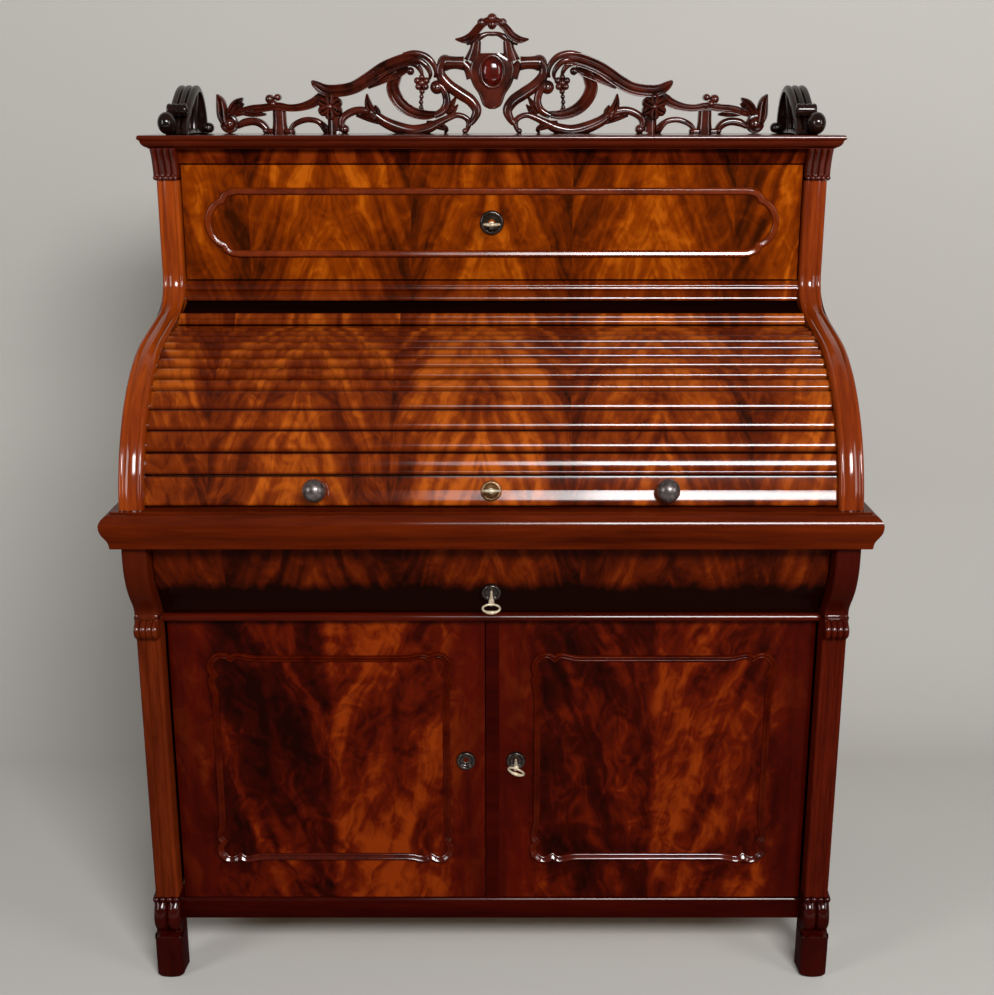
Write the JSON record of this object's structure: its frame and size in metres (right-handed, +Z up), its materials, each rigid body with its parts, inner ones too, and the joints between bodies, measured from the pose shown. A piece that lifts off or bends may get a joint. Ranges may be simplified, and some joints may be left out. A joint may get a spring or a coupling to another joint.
{
  "type": "cylinder desk",
  "caption": "Roll-front writing desk in polished mahogany: slatted curtain over a writing top, drawer and cupboard below, upper drawer with a carved crest above.",
  "frame": {"origin": "on the floor, under the middle of the writing top", "axes": "+Z up, +X to the right as seen from the front, the front faces -Y"},
  "size_m": [1.148, 0.64, 1.552],
  "materials": {
    "mahogany": "French polish, glossy, flame veneer",
    "dark_carving": "dark stained carving, polished",
    "dark_turning": "dark stained turning, polished",
    "drawer_oak": "bare oak",
    "leather": "smooth, waxed",
    "canvas": "woven linen",
    "lock_brass": "aged brass",
    "key_steel": "worn, polished by use"
  },
  "bodies": {
    "carcass": {"base_back": "drawer_oak", "base_floor": "drawer_oak", "base_shelf": "drawer_oak", "base_side_left": "mahogany", "base_side_right": "mahogany", "bead_rail": "mahogany", "capitals": "mahogany", "cornice": "mahogany", "crest": "mahogany", "door_pivots": "lock_brass", "drawer_divider": "drawer_oak", "frieze_rail": "mahogany", "front_feet": "mahogany", "gallery_ends": "dark_carving", "guides_and_battens": "drawer_oak", "pigeonhole_case": "mahogany", "pilaster_left": "mahogany", "pilaster_right": "mahogany", "plinth_rail": "mahogany", "rear_feet": "drawer_oak", "scroll_post_left": "mahogany", "scroll_post_right": "mahogany", "upper_back": "drawer_oak", "upper_case_floor": "drawer_oak", "upper_rail": "mahogany", "upper_side_left": "mahogany", "upper_side_right": "mahogany", "writing_leather": "leather", "writing_top": "mahogany"},
    "upper_drawer": {"upper_drawer_front": "mahogany", "upper_drawer_box": "drawer_oak", "upper_drawer_moulding": "mahogany", "upper_drawer_lock": "lock_brass"},
    "upper_drawer_bolt": {"upper_drawer_bolt": "lock_brass"},
    "upper_drawer_key": {"upper_drawer_key": "key_steel"},
    "base_drawer": {"base_drawer_front": "mahogany", "base_drawer_box": "drawer_oak", "base_drawer_lock": "lock_brass"},
    "base_drawer_bolt": {"base_drawer_bolt": "lock_brass"},
    "base_drawer_key": {"base_drawer_key": "key_steel"},
    "curtain": {"curtain_slats": "mahogany", "curtain_lock_rail": "mahogany", "curtain_canvas": "canvas", "curtain_knobs": "dark_turning", "curtain_lock": "lock_brass"},
    "curtain_bolt": {"curtain_bolt": "lock_brass"},
    "curtain_key": {"curtain_key": "key_steel"},
    "left_door": {"left_door_panel": "mahogany", "left_door_moulding": "mahogany", "left_door_escutcheon": "dark_turning"},
    "right_door": {"right_door_panel": "mahogany", "right_door_moulding": "mahogany", "meeting_strip": "mahogany", "right_door_lock": "lock_brass"},
    "right_door_bolt": {"right_door_bolt": "lock_brass"},
    "right_door_key": {"right_door_key": "key_steel"},
    "small_drawer_left": {"small_drawer_left": "mahogany"},
    "small_drawer_middle": {"small_drawer_middle": "mahogany"},
    "small_drawer_right": {"small_drawer_right": "mahogany"}
  },
  "joints": [
    {"name": "upper_drawer_slide", "type": "slide", "parent": "carcass", "child": "upper_drawer", "axis": [0, -1, 0], "range_m": [0, 0.15]},
    {"name": "base_drawer_slide", "type": "slide", "parent": "carcass", "child": "base_drawer", "axis": [0, -1, 0], "range_m": [0, 0.32]},
    {"name": "curtain_roll", "type": "hinge", "parent": "carcass", "child": "curtain", "pos_m": [0, -0.01185, 0.775], "axis": [-1, 0, 0], "range_deg": [0, 74]},
    {"name": "left_door_hinge", "type": "hinge", "parent": "carcass", "child": "left_door", "pos_m": [-0.506, -0.205, 0.374], "axis": [0, 0, -1], "range_deg": [0, 90]},
    {"name": "right_door_hinge", "type": "hinge", "parent": "carcass", "child": "right_door", "pos_m": [0.506, -0.205, 0.374], "axis": [0, 0, 1], "range_deg": [0, 90]},
    {"name": "small_drawer_left_slide", "type": "slide", "parent": "carcass", "child": "small_drawer_left", "axis": [0, -1, 0], "range_m": [0, 0.1]},
    {"name": "small_drawer_middle_slide", "type": "slide", "parent": "carcass", "child": "small_drawer_middle", "axis": [0, -1, 0], "range_m": [0, 0.1]},
    {"name": "small_drawer_right_slide", "type": "slide", "parent": "carcass", "child": "small_drawer_right", "axis": [0, -1, 0], "range_m": [0, 0.1]},
    {"name": "upper_drawer_key_turn", "type": "hinge", "parent": "upper_drawer", "child": "upper_drawer_key", "pos_m": [0, 0.07815, 1.2105], "axis": [0, -1, 0], "range_deg": [0, 180]},
    {"name": "upper_drawer_bolt_slide", "type": "slide", "parent": "upper_drawer", "child": "upper_drawer_bolt", "axis": [0, 0, 1], "range_m": [0, 0.009]},
    {"name": "base_drawer_key_turn", "type": "hinge", "parent": "base_drawer", "child": "base_drawer_key", "pos_m": [0, -0.25205, 0.6805], "axis": [0, -0.9397, -0.342], "range_deg": [0, 180]},
    {"name": "base_drawer_bolt_slide", "type": "slide", "parent": "base_drawer", "child": "base_drawer_bolt", "axis": [0, 0, 1], "range_m": [0, 0.009]},
    {"name": "curtain_key_turn", "type": "hinge", "parent": "curtain", "child": "curtain_key", "pos_m": [0, -0.27751, 0.8472], "axis": [0, -0.965, 0.2623], "range_deg": [0, 180]},
    {"name": "curtain_bolt_slide", "type": "slide", "parent": "curtain", "child": "curtain_bolt", "axis": [0, -0.2623, -0.965], "range_m": [0, 0.009]},
    {"name": "right_door_key_turn", "type": "hinge", "parent": "right_door", "child": "right_door_key", "pos_m": [0.039, -0.209, 0.3768], "axis": [0, -1, 0], "range_deg": [0, 180]},
    {"name": "right_door_bolt_slide", "type": "slide", "parent": "right_door", "child": "right_door_bolt", "axis": [-1, 0, 0], "range_m": [0, 0.009]}
  ],
  "couplings": [
    {"joint": "upper_drawer_bolt_slide", "follows": "upper_drawer_key_turn", "m_per_rad": 0.002864},
    {"joint": "base_drawer_bolt_slide", "follows": "base_drawer_key_turn", "m_per_rad": 0.002864},
    {"joint": "curtain_bolt_slide", "follows": "curtain_key_turn", "m_per_rad": 0.002864},
    {"joint": "right_door_bolt_slide", "follows": "right_door_key_turn", "m_per_rad": 0.002864}
  ]
}
